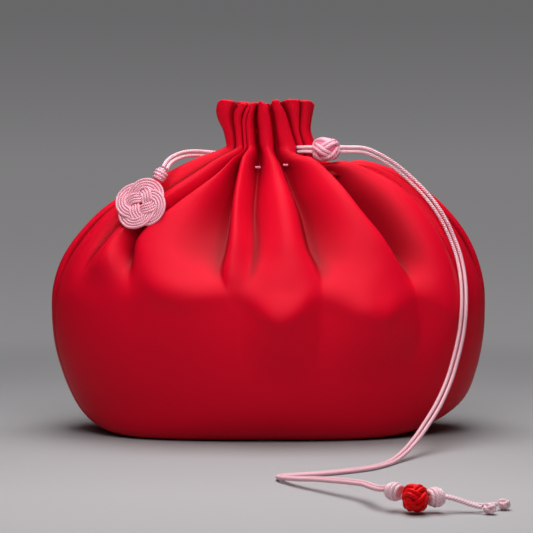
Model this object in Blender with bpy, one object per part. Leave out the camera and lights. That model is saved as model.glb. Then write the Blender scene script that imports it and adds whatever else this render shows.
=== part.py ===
"""Gathered satin drawstring pouch, drawn shut and standing on its base.

The pouch, its slider knot, its two pairs of drawstrings and what is tied to their ends are each
separate objects. Metres, +Z up, +X to the pouch's right as seen from the front, -Y to the front.
The origin is on the ground under the middle of the pouch.
"""
import math

import bpy
import numpy as np
from mathutils import Matrix, Vector

# Pouch sizes
POUCH_HALF_WIDTH = 0.1050      # to the widest point of either side
POUCH_HALF_DEPTH = 0.0465      # to the fullest point of the front or back, before its folds
SHOULDER_HEIGHT = 0.1380       # from the ground to where the cloth turns up into the neck
RUFFLE_HEIGHT = 0.0215         # from there to the edge of the ruffle
RUFFLE_WALL = 0.0016           # hem thickness round the ruffle
NECK_FLOOR_RISE = 0.0040       # how far above the shoulder the drawn neck closes
FUNNEL_FOLD_SHARE = 0.75       # depth of the folds inside the ruffle, as a share of those outside
CLOSING_REACH = 0.5            # reach of the last ring round the funnel's floor, as a share
CLOSING_RISE = 0.3             # and its height above the floor, as a share
FOLD_DEPTH = 0.0050            # depth that a fold share of 1 stands for
SEAM_GROOVE = 0.0008           # depth of the groove where front and back panels are sewn

# Cord sizes
CORD_DIAMETER = 0.0018
STRAND_GAP = 0.0003            # between the two strands of a pair
TOUCH_GAP = 0.0003             # between a piece and the one that it rests on or is tied to

# Knot and charm sizes
SLIDER_LENGTH = 0.0125
SLIDER_RADIUS = 0.0066
SLIDER_BORE_CLEARANCE = 0.0003
SLIDER_BORE_SHARES = (0.96, 0.33, -0.33, -0.96)  # the bore's rings, as shares of half its length
UPPER_KNOT_LENGTH = 0.0062
UPPER_KNOT_RADIUS = 0.0038
BEAD_LENGTH = 0.0088
BEAD_RADIUS = 0.0061
LOWER_KNOT_LENGTH = 0.0064
LOWER_KNOT_RADIUS = 0.0040
BALL_RADIUS = 0.0024
WRAP_KNOT_LENGTH = 0.0066
WRAP_KNOT_RADIUS = 0.0036
CHARM_RADIUS = 0.0134
CHARM_BAND_WIDTH = 0.0054
CHARM_BAND_THICKNESS = 0.0014
PLEAT_CORD_LENGTH = 0.0024
PLEAT_CORD_DIAMETER = 0.0012
KNOT_RELIEF = 0.12             # depth of a knot's weave, as a share of its radius
KNOT_END_SHARE = 0.42          # radius of a tight knot's ends, as a share of its middle
SLIDER_END_SHARE = 0.50        # the same for the slider knot
WEAVE_TURNS = 1.5              # half waves of a knot's weave from one end to the other
CHARM_EDGE_SHARE = 0.70        # thickness of the mat's edges, as a share of its middle
CHARM_RELIEF = 0.45            # depth of the mat's weave, as a share of its thickness
CHARM_SCALLOP = 0.03           # depth of the scallops round the mat, as a share of its radius
LAID_HEIGHT = 0.030            # below this a pair of strands turns to lie flat on the ground

# Mesh fineness
COLUMNS_PER_FOLD = 8
BODY_RINGS = (0, 1, 2, 3, 4, 5, 6, 7, 8, 9, 9.7, 10.4, 11.1, 11.8, 12.5, 13.2, 13.9, 14.6, 15.3, 16, 17)
RUFFLE_RINGS = (18, 19, 20, 20.6, 21)
FUNNEL_RINGS = (21, 20.2, 19.2, 18.2)
CORD_STEP = 3.6                # distance between a cord's points where it is straight, in diameters
POINT_TURN = 24                # a bend gets one more point for each of these degrees
POINTS_PER_SPAN = 24           # points on the smooth curve between two of a route's points

# The pouch's shape. A station is a level on the cloth, counted from the base (0) past the widest
# part (7) and the neck (17) to the ruffle's edge (21). Each row gives, for one station, the reach
# and height of the left side, right side, front and back, as shares of the sizes above.
RIM_STATION = 21
BODY_SHAPE = (
    ((0.630, 0.000), (0.545, 0.000), (0.665, 0.000), (0.600, 0.000)),
    ((0.728, 0.008), (0.655, 0.010), (0.760, 0.011), (0.710, 0.011)),
    ((0.804, 0.029), (0.758, 0.034), (0.850, 0.038), (0.810, 0.038)),
    ((0.868, 0.070), (0.857, 0.077), (0.928, 0.086), (0.905, 0.086)),
    ((0.918, 0.132), (0.925, 0.132), (0.980, 0.152), (0.978, 0.152)),
    ((0.962, 0.217), (0.968, 0.217), (1.018, 0.239), (1.018, 0.239)),
    ((0.995, 0.312), (0.995, 0.312), (1.040, 0.333), (1.040, 0.333)),
    ((1.005, 0.413), (1.005, 0.413), (1.043, 0.420), (1.040, 0.420)),
    ((0.992, 0.507), (0.994, 0.507), (1.030, 0.500), (1.010, 0.500)),
    ((0.944, 0.601), (0.950, 0.601), (0.960, 0.575), (0.925, 0.575)),
    ((0.858, 0.696), (0.879, 0.703), (0.835, 0.655), (0.805, 0.655)),
    ((0.742, 0.785), (0.784, 0.790), (0.690, 0.740), (0.672, 0.740)),
    ((0.610, 0.846), (0.672, 0.862), (0.545, 0.825), (0.538, 0.825)),
    ((0.466, 0.906), (0.546, 0.914), (0.415, 0.895), (0.415, 0.895)),
    ((0.333, 0.957), (0.419, 0.938), (0.333, 0.949), (0.333, 0.949)),
    ((0.238, 0.984), (0.292, 0.912), (0.288, 0.975), (0.288, 0.975)),
    ((0.192, 1.000), (0.216, 0.934), (0.262, 0.994), (0.262, 0.994)),
    ((0.189, 1.020), (0.206, 1.000), (0.254, 1.012), (0.254, 1.012)),
)
# Above the neck the heights are shares of the ruffle's height, counted from the shoulder.
RUFFLE_SHAPE = (
    ((0.202, 0.400), (0.184, 0.370), (0.267, 0.370), (0.267, 0.370)),
    ((0.225, 0.640), (0.187, 0.620), (0.292, 0.620), (0.292, 0.620)),
    ((0.236, 0.850), (0.194, 0.840), (0.323, 0.840), (0.323, 0.840)),
    ((0.234, 1.000), (0.200, 1.000), (0.335, 1.000), (0.335, 1.000)),
)

# The folds' valleys, by station: the angle from the front in degrees, then the depth as a share.
FOLD_STATIONS = (4.5, 7.3, 8.2, 9.2, 10.2, 11.5, 13.2, 15, 17, 21)
VALLEYS = (
    ("left seam", (-79, -79, -79, -80, -81, -83, -90, -98, -98, -92),
     (0.0, 0.0, 0.0, 0.0, 0.0, 0.1, 0.6, 0.9, 0.8, 0.5)),
    ("left side", (-62, -62, -62, -62, -62, -61, -59, -56, -54, -38),
     (0.0, 0.0, 0.0, 0.3, 0.7, 0.8, 0.7, 0.6, 0.5, 0.55)),
    ("left lobe", (-36, -38, -39, -42, -46, -41, -32, -33, -37, -23.5),
     (0.0, 0.0, 0.0, 0.6, 1.5, 1.9, 1.5, 0.9, 0.6, 0.4)),
    ("left inner", (-10, -10, -11, -13, -13, -15, -20, -29, -31, -19),
     (0.0, 0.0, 0.0, 0.4, 1.1, 1.8, 1.7, 1.0, 0.0, -0.2)),
    ("centre", (-7, -7, -6, -4.5, -4, -5.5, -7, -11, -17, -13.5),
     (0.0, 0.0, 0.0, 0.1, 0.3, 0.7, 1.1, 1.4, 1.5, 1.0)),
    ("right inner", (13.5, 13.5, 14, 14, 12.3, 12, 10, 8.5, 9, 1.3),
     (0.0, 0.0, 0.0, 0.5, 1.2, 1.7, 1.6, 1.1, 0.8, 0.7)),
    ("right lobe", (42, 42, 41.5, 41, 38, 34.5, 33, 34, 38, 15),
     (0.0, 0.0, 0.2, 1.1, 2.2, 2.7, 2.0, 1.1, 0.7, 0.5)),
    ("right side", (62, 62, 62, 63, 64, 67, 67, 53, 52, 45),
     (0.0, 0.0, 0.0, 0.2, 0.5, 0.7, 1.0, 1.3, 0.9, 0.25)),
    ("right seam", (87, 87, 87, 87, 87, 87, 87, 88, 88, 88),
     (0.0, 0.0, 0.0, 0.0, 0.0, 0.1, 0.25, 0.4, 0.5, 0.4)),
)
# The folds that stand between those valleys, left to right: the height at each station, as a share.
RIDGES = (
    (0.0, 0.0, 0.0, 0.1, 0.2, 0.2, 0.2, 0.2, 0.25, 0.3),
    (0.0, 0.0, 0.0, 0.6, 0.5, 0.25, 0.2, 0.25, 0.25, 0.3),
    (0.0, 0.4, 0.6, 0.5, 0.6, 0.5, 0.4, 0.2, 0.15, 0.25),
    (0.0, 0.0, 0.0, 0.3, 0.6, 0.6, 0.6, 0.4, 0.3, 0.25),
    (0.0, 1.1, 0.55, 0.45, 0.7, 0.8, 0.6, 0.4, 0.4, 0.4),
    (0.0, 1.1, 0.60, 0.45, 0.7, 0.8, 0.6, 0.4, 0.3, 0.3),
    (0.0, 0.8, 0.7, 0.6, 0.6, 0.6, 0.4, 0.1, 0.15, 0.5),
    (0.0, 0.0, 0.0, 0.0, 0.05, 0.1, 0.2, 0.25, 0.25, 0.3),
)
# Where each front fold's crest stands across its width: at its lower end, then higher up
LOW_CRESTS = (0.50, 0.50, 0.60, 0.50, 0.50, 0.46, 0.55, 0.50)
CRESTS = (0.50, 0.50, 0.28, 0.36, 0.55, 0.70, 0.62, 0.50)
CREST_START = 7.3              # the station where the crests begin to move over
CREST_STATIONS = 3             # the stations that they take for it
LOW_NARROWING = 0.4            # how much narrower the folds' lower ends are than the folds
BACK_FOLDS = 8
BACK_FULLNESS = 0.85           # height of the back folds, as a share of the row below
BACK_UNEVENNESS = 0.30         # how much fuller or slimmer than that each of them is
FOLD_CRISPNESS = 2.4           # how suddenly a fold's sharp side drops: 1 is a straight slope
BACK_VALLEY = (0.0, 0.0, 0.1, 0.4, 0.7, 0.8, 0.7, 0.6, 0.55, 0.55)
BACK_RIDGE = (0.0, 0.1, 0.4, 0.7, 0.7, 0.6, 0.5, 0.4, 0.3, 0.3)
# How far the ruffle's edge rises or drops at some angles from the front, in degrees and metres
RIM_RISES = (
    (-92, -0.0035), (-80, -0.0012), (-62, 0.0008), (-44, 0.0006), (-38, -0.0014), (-31, -0.0005),
    (-23.5, -0.0012), (-19, -0.0004), (-13.5, -0.0012), (-8, 0.0004), (1.3, -0.0032), (5, 0.0004),
    (10, 0.0008), (15, -0.0002), (25, 0.0012), (45, 0.0009), (70, 0.0002), (88, -0.0008),
    (135, 0.0006), (180, -0.0004), (225, 0.0006), (268, -0.0035),
)
RIM_RISE_STATIONS = 3          # the stations below the edge over which that fades away
SEAM_BASE_ANGLE = 62           # where the side seams run under the base, in degrees from the front
SEAM_HALF_WIDTH = 1.6          # half the seam groove's width, in degrees
BASE_SQUARENESS = 0.42         # how far the base's plan goes from an oval towards a rectangle
SQUARE_STATIONS = 4            # the stations over which that fades away

# Places of the knots and the charm, and the cords' routes through points chosen by hand
SLIDER_CENTRE = (0.0275, -0.0100, 0.1372)
SLIDER_AXIS = (1, 0, 0)
RIGHT_ROUTE = (
    (0.0160, -0.0100, 0.1372), (0.0270, -0.0100, 0.1372), (0.0380, -0.0100, 0.1372),
    (0.0455, -0.0100, 0.1369), (0.0516, -0.0095, 0.1346), (0.0577, -0.0084, 0.1312),
    (0.0634, -0.0076, 0.1271), (0.0690, -0.0077, 0.1222), (0.0747, -0.0090, 0.1165),
    (0.0794, -0.0111, 0.1106), (0.0840, -0.0133, 0.1032), (0.0877, -0.0157, 0.0949),
    (0.0906, -0.0195, 0.0860), (0.0920, -0.0254, 0.0753), (0.0918, -0.0312, 0.0638),
    (0.0905, -0.0344, 0.0523), (0.0878, -0.0384, 0.0417), (0.0837, -0.0448, 0.0306),
    (0.0779, -0.0550, 0.0210), (0.0718, -0.0640, 0.0136), (0.0661, -0.0730, 0.0079),
    (0.0602, -0.0825, 0.0037), (0.0546, -0.0910, 0.0013), (0.0490, -0.1000, 0.0010),
    (0.0410, -0.1083, 0.0010), (0.0257, -0.1172, 0.0010), (0.0119, -0.1222, 0.0010),
    (0.0068, -0.1245, 0.0011), (0.0047, -0.1290, 0.0014), (0.0067, -0.1345, 0.0022),
    (0.0123, -0.1427, 0.0034), (0.0183, -0.1494, 0.0046), (0.0245, -0.1565, 0.0056),
    (0.0310, -0.1636, 0.0064), (0.0369, -0.1712, 0.0071), (0.0393, -0.1786, 0.0076),
    (0.0417, -0.1850, 0.0081), (0.0446, -0.1878, 0.0084),
)
UPPER_KNOT_CENTRE = (0.0479, -0.1898, 0.0077)
BEAD_CENTRE = (0.0554, -0.1939, 0.0061)
BEAD_AXIS = (1, 0.17, 0)
FRONT_TAIL_ROUTE = (
    (0.0671, -0.1929, 0.0062), (0.0700, -0.1927, 0.0055), (0.0732, -0.1928, 0.0045),
    (0.0765, -0.1932, 0.0034), (0.0790, -0.1938, 0.0028), (0.0807, -0.1943, 0.0025),
)
FRONT_BALL_CENTRE = (0.0836, -0.1953, 0.0024)
BACK_TAIL_ROUTE = (
    (0.0671, -0.1908, 0.0062), (0.0700, -0.1906, 0.0055), (0.0732, -0.1907, 0.0045),
    (0.0765, -0.1909, 0.0034), (0.0800, -0.1907, 0.0027), (0.0840, -0.1896, 0.0025),
    (0.0873, -0.1884, 0.0025),
)
BACK_BALL_CENTRE = (0.0901, -0.1874, 0.0024)
LEFT_ROUTE = (
    (-0.0205, 0.0128, 0.1344), (-0.0245, 0.0131, 0.1344), (-0.0287, 0.0127, 0.1347),
    (-0.0331, 0.0108, 0.1351), (-0.0372, 0.0070, 0.1352), (-0.0412, 0.0018, 0.1347),
    (-0.0450, -0.0047, 0.1333),
    (-0.0478, -0.0110, 0.1312), (-0.0494, -0.0156, 0.1283),
)
CHARM_CENTRE = (-0.0605, -0.0227, 0.1116)
CHARM_UP = (0.53, 0.30, 0.79)
CHARM_NORMAL = (-0.28, -0.87, 0.41)
# Each glimpse of drawstring lies across a valley: its name, the valley's number, its station and how
# far right of the valley's line it is, in degrees; then how far its middle is above the valley's floor
PLEAT_CORDS = (("left", 4, 13.85, 0, 0.0030), ("right", 5, 14.1, 2.2, 0.0036))


def clear_scene():
    for thing in list(bpy.data.objects):
        bpy.data.objects.remove(thing, do_unlink=True)


def smooth_curve(points, where):
    """A smooth curve through the points, read at places counted in points (0 is the first)."""
    points = np.asarray(points, dtype=float)
    where = np.clip(np.asarray(where, dtype=float), 0, len(points) - 1)
    first = np.minimum(where.astype(int), len(points) - 2)
    t = (where - first).reshape(where.shape + (1,) * (points.ndim - 1))
    before = points[np.maximum(first - 1, 0)]
    start = points[first]
    end = points[first + 1]
    after = points[np.minimum(first + 2, len(points) - 1)]
    return 0.5 * (2 * start + (end - before) * t
                  + (2 * before - 5 * start + 4 * end - after) * t ** 2
                  + (3 * start - before - 3 * end + after) * t ** 3)


def smooth_step(share):
    """A share held between 0 and 1, with a soft start and end."""
    share = np.clip(share, 0, 1)
    return share ** 2 * (3 - 2 * share)


def by_station(values, station):
    """A fold's value at a station, on a smooth curve that is level below the first fold station."""
    stations = np.array(FOLD_STATIONS)
    values = np.array(values)
    slopes = np.gradient(values, stations)
    slopes[0] = 0
    station = min(max(station, stations[0]), stations[-1])
    first = min(int(np.searchsorted(stations, station, side="right")) - 1, len(stations) - 2)
    span = stations[first + 1] - stations[first]
    t = (station - stations[first]) / span
    start = values[first] * (1 + 2 * t) * (1 - t) ** 2 + values[first + 1] * (3 - 2 * t) * t ** 2
    return start + span * t * (1 - t) * (slopes[first] * (1 - t) - slopes[first + 1] * t)


def seam_angle(values, station):
    """A side seam's angle, which turns to the front under the belly."""
    upper = by_station(values, station)
    low = smooth_step(1 - station / SQUARE_STATIONS)
    return upper + (math.copysign(SEAM_BASE_ANGLE, values[0]) - upper) * low


def valley_angles(station):
    """Angles of all valleys at a station, from the left seam round the front and the back to it."""
    angles = [seam_angle(VALLEYS[0][1], station)]
    angles += [by_station(valley[1], station) for valley in VALLEYS[1:-1]]
    angles.append(seam_angle(VALLEYS[-1][1], station))
    start = angles[-1]
    for number in range(1, BACK_FOLDS + 1):
        angles.append(start + (angles[0] + 360 - start) * number / BACK_FOLDS)
    return np.array(angles)


def valley_depths(station):
    depths = [by_station(valley[2], station) for valley in VALLEYS]
    depths += [by_station(BACK_VALLEY, station)] * (BACK_FOLDS - 1)
    depths.append(depths[0])
    return np.array(depths)


def ridge_heights(station):
    heights = [by_station(ridge, station) for ridge in RIDGES]
    for number in range(BACK_FOLDS):
        fullness = BACK_FULLNESS + BACK_UNEVENNESS * math.sin(2.4 * number + 1)
        heights.append(by_station(BACK_RIDGE, station) * fullness)
    return np.array(heights)


def fold_arch(t, crest, number):
    """Height of a fold across its width, 0 at its valleys and 1 at its crest.

    A front fold leans away from the middle: that side drops sharply, and the other one is soft.
    """
    soft_left = 0.5 - 0.5 * np.cos(math.pi * np.clip(t / crest, 0, 1))
    soft_right = 0.5 - 0.5 * np.cos(math.pi * np.clip((1 - t) / (1 - crest), 0, 1))
    crisp_left = 1 - np.clip(1 - t / crest, 0, 1) ** FOLD_CRISPNESS
    crisp_right = 1 - np.clip(1 - (1 - t) / (1 - crest), 0, 1) ** FOLD_CRISPNESS
    if number in (2, 3):
        left, right = crisp_left, soft_right
    elif number in (4, 5, 6):
        left, right = soft_left, crisp_right
    elif number in (0, 1, 7):
        left, right = soft_left, soft_right
    else:
        left, right = crisp_left, crisp_right
    return np.where(t < crest, left, right)


def crest_place(number, station):
    """Where a fold's crest stands across its width, from 0 to 1."""
    if number >= len(CRESTS):
        return 0.5
    moved = smooth_step((station - CREST_START) / CREST_STATIONS)
    return LOW_CRESTS[number] + (CRESTS[number] - LOW_CRESTS[number]) * moved


def body_point(angle, station):
    """The pouch without its folds: a point at an angle from the front, in degrees."""
    ruffle = [[(reach, 1 + height * RUFFLE_HEIGHT / SHOULDER_HEIGHT) for reach, height in row]
              for row in RUFFLE_SHAPE]
    shape = np.array([list(row) for row in BODY_SHAPE] + ruffle)
    left, right, front, back = np.moveaxis(smooth_curve(shape, station), -2, 0)
    side = np.sin(np.radians(angle))
    ahead = np.cos(np.radians(angle))
    across = np.where((side < 0)[..., None], left, right)
    along = np.where((ahead > 0)[..., None], front, back)
    power = 1 - BASE_SQUARENESS * smooth_step(1 - station / SQUARE_STATIONS)
    x = np.sign(side) * np.abs(side) ** power * across[..., 0] * POUCH_HALF_WIDTH
    y = -np.sign(ahead) * np.abs(ahead) ** power * along[..., 0] * POUCH_HALF_DEPTH
    z = (side ** 2 * across[..., 1] + ahead ** 2 * along[..., 1]) * SHOULDER_HEIGHT
    return np.stack([x, y, z], axis=-1)


def outward(angle, station):
    """Unit direction out of the unfolded pouch."""
    small = 0.05
    round_it = body_point(angle + 1, station) - body_point(angle - 1, station)
    low = np.maximum(station - small, 0)
    high = np.minimum(station + small, RIM_STATION)
    up_it = body_point(angle, high) - body_point(angle, low)
    normal = np.cross(round_it, up_it)
    return normal / np.linalg.norm(normal, axis=-1, keepdims=True)


def pouch_ring(station, columns=COLUMNS_PER_FOLD, fold_share=1.0, wall=0.0):
    """One ring of the folded pouch, its columns following the folds."""
    angles = valley_angles(station)
    depths = valley_depths(station)
    heights = ridge_heights(station)
    moved = smooth_step((station - CREST_START) / CREST_STATIONS)
    narrow = 1 + LOW_NARROWING * (1 - moved)
    ring_angles = []
    lift = []
    for number, height in enumerate(heights):
        crest = crest_place(number, station)
        t = np.arange(columns) / columns
        floor = -(depths[number] * (1 - t) + depths[number + 1] * t)
        ring_angles.append(angles[number] * (1 - t) + angles[number + 1] * t)
        arch = fold_arch(t, crest, number) ** narrow
        lift.append(floor + (height - floor) * arch)
    ring_angles = np.concatenate(ring_angles)
    lift = np.concatenate(lift) * FOLD_DEPTH * fold_share
    for seam in (angles[0], angles[len(VALLEYS) - 1]):
        away = np.abs((ring_angles - seam + 180) % 360 - 180)
        lift -= SEAM_GROOVE * (away < SEAM_HALF_WIDTH) * min(1, station)
    stations = np.full(ring_angles.shape, float(station))
    place = body_point(ring_angles, stations)
    if station == 0:
        return place
    rim_angles, rises = zip(*RIM_RISES)
    share = smooth_step(1 - (RIM_STATION - station) / RIM_RISE_STATIONS)
    place[:, 2] += np.interp(ring_angles, rim_angles, rises) * share
    return place + outward(ring_angles, stations) * (lift - wall)[:, None]


def new_material(name, colour, roughness):
    material = bpy.data.materials.new(name)
    material.use_nodes = True
    shader = material.node_tree.nodes["Principled BSDF"]
    shader.inputs["Base Color"].default_value = (*colour, 1)
    shader.inputs["Roughness"].default_value = roughness
    shader.inputs["Metallic"].default_value = 0
    return material


def mesh_object(name, points, faces, material):
    mesh = bpy.data.meshes.new(name)
    mesh.from_pydata([tuple(point) for point in points], [], faces)
    mesh.update()
    mesh.shade_smooth()
    piece = bpy.data.objects.new(name, mesh)
    bpy.context.collection.objects.link(piece)
    mesh.materials.append(material)
    return piece


def ring_faces(rings, columns, joined=False):
    """Faces between rings of equal size; joined closes the last ring to the first."""
    faces = []
    last = rings if joined else rings - 1
    for ring in range(last):
        above = (ring + 1) % rings
        for column in range(columns):
            beside = (column + 1) % columns
            faces.append((ring * columns + column, ring * columns + beside,
                          above * columns + beside, above * columns + column))
    return faces


def make_pouch(material):
    """The whole pouch in one surface: base, body, neck, ruffle and the funnel inside the ruffle."""
    rings = [pouch_ring(station) for station in BODY_RINGS + RUFFLE_RINGS]
    rings += [pouch_ring(station, fold_share=FUNNEL_FOLD_SHARE, wall=RUFFLE_WALL)
              for station in FUNNEL_RINGS]
    floor_height = SHOULDER_HEIGHT + NECK_FLOOR_RISE
    closing = rings[-1].copy()
    closing[:, :2] *= CLOSING_REACH
    closing[:, 2] = floor_height + CLOSING_RISE * (rings[-1][:, 2].min() - floor_height)
    rings.append(closing)
    columns = len(rings[0])
    points = list(np.concatenate(rings))
    faces = ring_faces(len(rings), columns)
    base = len(points)
    points.append((0.0, 0.0, 0.0))
    points.append((0.0, 0.0, floor_height))
    last_ring = (len(rings) - 1) * columns
    for column in range(columns):
        beside = (column + 1) % columns
        faces.append((base, beside, column))
        faces.append((base + 1, last_ring + column, last_ring + beside))
    return mesh_object("pouch_body", points, faces, material)


def unit(vector):
    vector = np.asarray(vector, dtype=float)
    return vector / np.linalg.norm(vector)


def smooth_route(route):
    """Many points on the smooth curve through a route."""
    return smooth_curve(route, np.linspace(0, len(route) - 1, POINTS_PER_SPAN * (len(route) - 1) + 1))


def spaced(points, step):
    """Fewer points of a smooth line: one at every step, and more of them in its bends."""
    spans = np.diff(points, axis=0)
    lengths = np.linalg.norm(spans, axis=1)
    headings = spans / lengths[:, None]
    turns = np.degrees(np.linalg.norm(np.diff(headings, axis=0), axis=1))
    needed = np.cumsum(lengths / step + np.concatenate([[0], turns / POINT_TURN]))
    needed = np.concatenate([[0], needed])
    count = max(4, int(round(needed[-1])) + 1)
    wanted = np.linspace(0, needed[-1], count)
    return np.stack([np.interp(wanted, needed, points[:, axis]) for axis in range(3)], axis=1)


def strand(route, side):
    """One strand of a pair: the route moved sideways, in line with what the pair lies on."""
    points = smooth_route(route)
    ahead = np.gradient(points, axis=0)
    low = np.clip((LAID_HEIGHT - points[:, 2]) / LAID_HEIGHT, 0, 1)[:, None]
    facing = np.array([0, -1, 0]) * (1 - low) + np.array([0, 0, 1]) * low
    across = np.cross(ahead, facing)
    across /= np.linalg.norm(across, axis=1, keepdims=True)
    return points + across * side * (CORD_DIAMETER + STRAND_GAP) / 2


def tube(name, points, material, diameter=CORD_DIAMETER):
    """A round cord along a smooth line of points, with filled ends."""
    points = spaced(points, CORD_STEP * diameter)
    curve = bpy.data.curves.new(name, "CURVE")
    curve.dimensions = "3D"
    curve.bevel_depth = diameter / 2
    curve.bevel_resolution = 2
    curve.use_fill_caps = True
    spline = curve.splines.new("POLY")
    spline.points.add(len(points) - 1)
    for place, point in zip(spline.points, points):
        place.co = (*point, 1)
    piece = bpy.data.objects.new(name, curve)
    bpy.context.collection.objects.link(piece)
    curve.materials.append(material)
    return piece


def place_along(piece, centre, axis, up=(0, 0, 1)):
    """Stand a piece made along X at its place, its X along the axis and its Z near up."""
    x = Vector(unit(axis))
    y = Vector(up).cross(x).normalized()
    z = x.cross(y)
    piece.rotation_mode = "QUATERNION"
    turn = Matrix([(x[row], y[row], z[row]) for row in range(3)])
    piece.rotation_quaternion = turn.to_quaternion()
    piece.location = centre


def woven(around, along):
    """Relief of two crossing families of strands, from 0 in the gaps to 1 on the strands."""
    return 0.5 + 0.5 * np.cos(around + along) * np.cos(around - along)


def knot_profile(length, radius, rows, end_share):
    """Places along the axis and radii of a rounded knot, from one end to the other."""
    swing = np.linspace(-1, 1, rows) * math.acos(end_share)
    return np.sin(swing) / math.sin(math.acos(end_share)) * length / 2, radius * np.cos(swing)


def tied_knot(name, centre, axis, length, radius, material, bights=4, rows=9, columns=20):
    """A knot pulled tight: a rounded body with the relief of its strands."""
    places, radii = knot_profile(length, radius, rows, KNOT_END_SHARE)
    turn = np.arange(columns) * 2 * math.pi / columns
    points = []
    for row in range(rows):
        weave = woven(bights * turn / 2, WEAVE_TURNS * math.pi * row / (rows - 1))
        ring = radii[row] * (1 - KNOT_RELIEF * (1 - weave))
        points += [(places[row], reach * math.cos(angle), reach * math.sin(angle))
                   for reach, angle in zip(ring, turn)]
    faces = ring_faces(rows, columns)
    ends = len(points)
    points += [(-length / 2, 0, 0), (length / 2, 0, 0)]
    last = (rows - 1) * columns
    for column in range(columns):
        beside = (column + 1) % columns
        faces.append((ends, beside, column))
        faces.append((ends + 1, last + column, last + beside))
    piece = mesh_object(name, points, faces, material)
    place_along(piece, centre, axis)
    return piece


def slider_bore(turn):
    """Half the bore's width at each angle: a slot with round ends that clears both strands."""
    reach = CORD_DIAMETER / 2 + SLIDER_BORE_CLEARANCE
    offset = (CORD_DIAMETER + STRAND_GAP) / 2
    points = [(reach * math.cos(angle), reach * math.sin(angle)
               + offset * np.clip(3 * math.sin(angle), -1, 1)) for angle in turn]
    return points


def make_slider(material, columns=24, rows=9):
    """The button knot that slides on both strands of the right drawstring."""
    places, radii = knot_profile(SLIDER_LENGTH, SLIDER_RADIUS, rows, SLIDER_END_SHARE)
    turn = np.arange(columns) * 2 * math.pi / columns
    points = []
    for row in range(rows):
        weave = woven(3 * turn, WEAVE_TURNS * math.pi * row / (rows - 1))
        ring = radii[row] * (1 - KNOT_RELIEF * (1 - weave))
        points += [(places[row], reach * math.cos(angle), reach * math.sin(angle))
                   for reach, angle in zip(ring, turn)]
    bore = slider_bore(turn)
    for share in SLIDER_BORE_SHARES:
        points += [(share * SLIDER_LENGTH / 2, y, z) for y, z in bore]
    faces = ring_faces(rows + 4, columns, joined=True)
    piece = mesh_object("slider_knot", points, faces, material)
    place_along(piece, SLIDER_CENTRE, SLIDER_AXIS)
    return piece


def make_charm(material, columns=48, rows=5):
    """The flat round mat woven from four strands side by side, with its hole in the middle."""
    hole = CHARM_RADIUS - 2 * CHARM_BAND_WIDTH - CORD_DIAMETER / 2
    turn = np.arange(columns) * 2 * math.pi / columns
    points = []
    section = [(share, 1) for share in np.linspace(0, 1, rows)]
    section += [(share, -1) for share in np.linspace(1, 0, rows)]
    for share, face in section:
        reach = hole + (CHARM_RADIUS - hole) * share
        relief = woven(2 * turn, math.pi * (share * WEAVE_TURNS + 0.25))
        edge = CHARM_EDGE_SHARE if share in (0, 1) else 1.0
        thick = CHARM_BAND_THICKNESS * (1 - CHARM_RELIEF * (1 - relief)) * edge
        scallop = 1 - CHARM_SCALLOP * share * (1 - np.cos(8 * turn)) / 2
        points += [(reach * scale * math.cos(angle), reach * scale * math.sin(angle), face * height)
                   for scale, height, angle in zip(scallop, thick, turn)]
    faces = [tuple(reversed(face)) for face in ring_faces(len(section), columns, joined=True)]
    piece = mesh_object("charm_mat", points, faces, material)
    place_along(piece, CHARM_CENTRE, CHARM_UP, up=CHARM_NORMAL)
    return piece


def make_right_drawstring(cord, red):
    """The pair of strands that hangs to the ground, and the three knots tied on its far end."""
    tube("right_cord_upper", strand(RIGHT_ROUTE, -1), cord)
    tube("right_cord_lower", strand(RIGHT_ROUTE, 1), cord)
    first_axis = unit(np.subtract(BEAD_CENTRE, UPPER_KNOT_CENTRE))
    spacing = (BEAD_LENGTH + LOWER_KNOT_LENGTH) / 2 + TOUCH_GAP
    lower_centre = np.add(BEAD_CENTRE, unit(BEAD_AXIS) * spacing)
    tied_knot("end_knot_upper", UPPER_KNOT_CENTRE, first_axis, UPPER_KNOT_LENGTH, UPPER_KNOT_RADIUS,
              cord, bights=4, rows=7, columns=16)
    tied_knot("red_bead_knot", BEAD_CENTRE, BEAD_AXIS, BEAD_LENGTH, BEAD_RADIUS, red, bights=10)
    tied_knot("end_knot_lower", lower_centre, BEAD_AXIS, LOWER_KNOT_LENGTH, LOWER_KNOT_RADIUS,
              cord, bights=4, rows=7, columns=16)
    for name, route, ball in (("front", FRONT_TAIL_ROUTE, FRONT_BALL_CENTRE),
                              ("back", BACK_TAIL_ROUTE, BACK_BALL_CENTRE)):
        tube("tail_cord_" + name, smooth_route(route), cord)
        tied_knot("ball_knot_" + name, ball, np.subtract(ball, route[-1]), 2 * BALL_RADIUS, BALL_RADIUS,
                  cord, bights=4, rows=6, columns=12)


def make_left_drawstring(cord):
    """The short pair of strands, the wrapped knot below it and the mat that hangs from that."""
    tube("left_cord_upper", strand(LEFT_ROUTE, -1), cord)
    tube("left_cord_lower", strand(LEFT_ROUTE, 1), cord)
    make_charm(cord)
    reach = CHARM_RADIUS + TOUCH_GAP + WRAP_KNOT_LENGTH / 2
    tied_knot("wrap_knot", np.add(CHARM_CENTRE, unit(CHARM_UP) * reach), CHARM_UP, WRAP_KNOT_LENGTH,
              WRAP_KNOT_RADIUS, cord, bights=4, rows=7, columns=16)


def make_pleat_cords(cord):
    """The two glimpses of drawstring that show in the front's pleats."""
    for name, valley, station, beside, above in PLEAT_CORDS:
        angle = valley_angles(station)[valley] + beside
        rise = above - valley_depths(station)[valley] * FOLD_DEPTH
        centre = body_point(angle, station) + outward(angle, station) * rise
        half = np.array([PLEAT_CORD_LENGTH / 2, 0, 0])
        tube("pleat_cord_" + name, smooth_route([centre - half, centre, centre + half]), cord,
             PLEAT_CORD_DIAMETER)


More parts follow.
